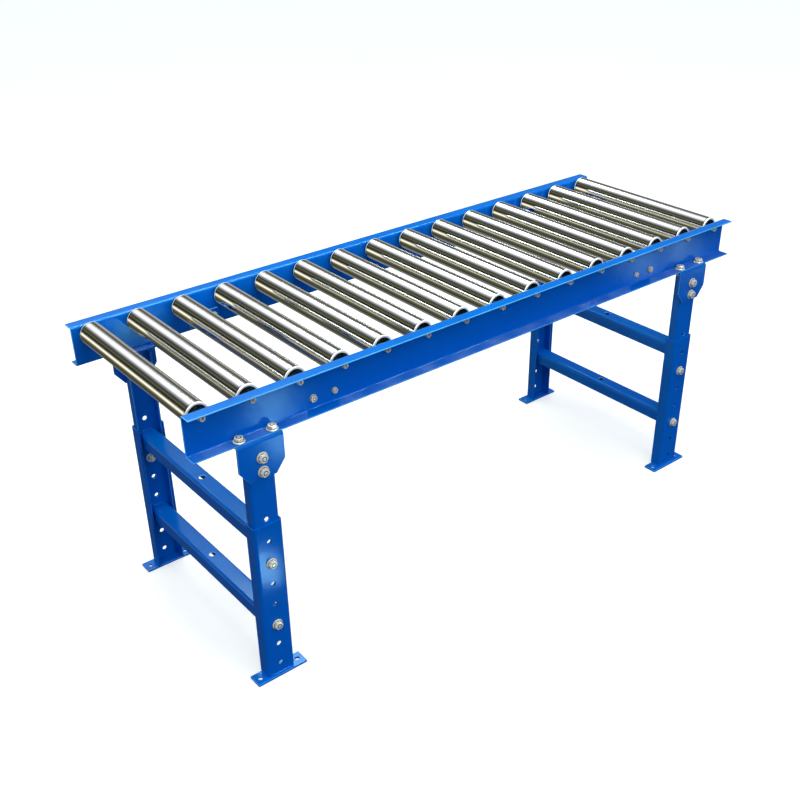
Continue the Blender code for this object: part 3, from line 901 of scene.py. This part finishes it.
BLACK, DARK = (0.0, 0.0, 0.0), (0.035, 0.035, 0.03)
DIM, GREY = (0.14, 0.14, 0.13), (0.44, 0.44, 0.42)
WHITE, COOL = (1.18, 1.20, 1.26), (0.36, 0.39, 0.47)
CREAM, OLIVE = (1.30, 1.22, 0.98), (0.13, 0.14, 0.07)
STUDIO_BACK = [                        # each tone's angle: 0 is level to the right, 90 is straight up
    (-180, GREY), (-173, CREAM), (-162, CREAM), (-148, OLIVE), (-113, DARK), (-95, DIM),
    (-20, GREY), (6, GREY), (20, DIM), (34, DARK), (54, GREY), (66, WHITE), (95, WHITE),
    (110, COOL), (120, DIM), (131, DARK), (146, OLIVE), (156, DARK), (165, BLACK), (174, DIM),
]
STUDIO_FRONT_LOW = rgb(0.025, 0.035, 0.055)
STUDIO_FRONT_HIGH = rgb(0.86, 0.98, 1.30)
MIRRORED_SHARE = 0.85                  # how much of the ring of tones the tubes mirror in front
BACKDROP = rgb(0.98, 0.98, 0.97)

world = bpy.data.worlds.new("studio")
bpy.context.scene.world = world
world.use_nodes = True
tree = world.node_tree
background = tree.nodes["Background"]
way = Value(tree, tree.nodes.new("ShaderNodeTexCoord").outputs["Generated"])
east, north, height = (way.node("ShaderNodeSeparateXYZ", {}, {0: way}, output=i) for i in range(3))
around = height.math("ARCTAN2", height, east) * (1 / math.tau) + 0.5
stops = [(angle / 360 + 0.5, tone) for angle, tone in STUDIO_BACK]
studio_back = around.node("ShaderNodeValToRGB", {"stops": stops}, {0: around})
mirrored = way.node("ShaderNodeLightPath", output=3)
sky = (MIRRORED_SHARE * mirrored).blend(STUDIO_FRONT_HIGH, studio_back)
studio_front = height.between(-0.05, 0.45).blend(STUDIO_FRONT_LOW, sky)
studio = north.between(0.0, 0.35).blend(studio_front, studio_back)
seen = way.node("ShaderNodeLightPath", output=0)
backdrop = seen.blend(studio, BACKDROP)
tree.links.new(backdrop.socket, background.inputs["Color"])


def softbox(name, centre, target, size, radiance, colour, in_gloss=True, in_diffuse=True):
    """A lamp of even brightness, of a width and a height, that faces a point."""
    lamp = bpy.data.lights.new(name, "AREA")
    lamp.shape = "RECTANGLE"
    lamp.size, lamp.size_y = size
    lamp.energy = radiance * math.pi * lamp.size * lamp.size_y
    lamp.color = colour
    holder = bpy.data.objects.new(name, lamp)
    holder.location = centre
    holder.rotation_mode = "QUATERNION"
    holder.rotation_quaternion = (Vector(target) - Vector(centre)).to_track_quat("-Z", "Y")
    holder.visible_camera = False
    holder.visible_glossy = in_gloss
    holder.visible_diffuse = in_diffuse
    bpy.context.scene.collection.objects.link(holder)


DAYLIGHT = (0.80, 0.95, 1.0)
WARM_GREEN = (1.0, 1.08, 0.60)
ROSE = (1.0, 0.92, 0.90)
softbox("overhead", (-0.2, 0.15, 3.2), (0, 0, 0.3), (3.0, 2.0), 4.0, WARM_GREEN, in_gloss=False)
softbox("front_fill", (0.2, -3.6, 2.2), (0, 0, 0.4), (2.6, 1.8), 2.3, ROSE, in_gloss=False)
softbox(
    "back_box", (1.43, 3.66, 4.38), (-0.6, -0.15, 0.2), (2.0, 1.05), 9.5, DAYLIGHT, in_diffuse=False
)
softbox("strip", (0, -0.15, 3.0), (0, -0.15, 0.6), (4.0, 0.5), 34.0, DAYLIGHT, in_diffuse=False)

# Small lamps low in front, each for a soft spot on the coat: place, the spot, size, brightness.
GLINT_BLUE = (0.60, 0.86, 1.0)
GLINTS = {
    "leg": ((-0.467, -0.553, 0.012), (-0.63, -0.26, 0.265), 0.07, 11.0),
    "bracket": ((-0.12, -1.00, 0.012), (-0.57, -0.26, 0.53), 0.08, 11.0),
    "web_left": ((-0.02, -1.17, 0.012), (-0.57, -0.24, 0.61), 0.10, 9.0),
    "web_middle": ((1.63, -1.16, 0.012), (0.44, -0.24, 0.605), 0.10, 4.0),
    "web_right": ((1.87, -1.15, 0.012), (0.59, -0.24, 0.60), 0.10, 4.0),
}
for name, (centre, target, size, radiance) in GLINTS.items():
    softbox(
        f"glint_{name}", centre, target, (size, size), radiance, GLINT_BLUE, in_diffuse=False
    )

LENS = 47.45
AZIMUTH = math.radians(-38.82)
ELEVATION = math.radians(30.40)
ROLL = math.radians(-0.68)
DISTANCE = 2.48893
TARGET = Vector((-0.06945, 0.0, 0.28447))
lens = bpy.data.cameras.new("camera")
lens.lens = LENS
lens.sensor_width = 36.0
lens.shift_x = -0.0116
lens.shift_y = 0.0245
level = math.cos(ELEVATION)
back = Vector((math.sin(AZIMUTH) * level, -math.cos(AZIMUTH) * level, math.sin(ELEVATION)))
right = (-back).cross(Z).normalized()
up = right.cross(-back)
tilted = math.cos(ROLL) * right + math.sin(ROLL) * up
turn = Matrix((tilted, back.cross(tilted), back)).transposed().to_4x4()
camera = bpy.data.objects.new("camera", lens)
camera.matrix_world = Matrix.Translation(TARGET + back * DISTANCE) @ turn
bpy.context.scene.collection.objects.link(camera)
bpy.context.scene.camera = camera
bpy.context.scene.view_settings.view_transform = "Standard"
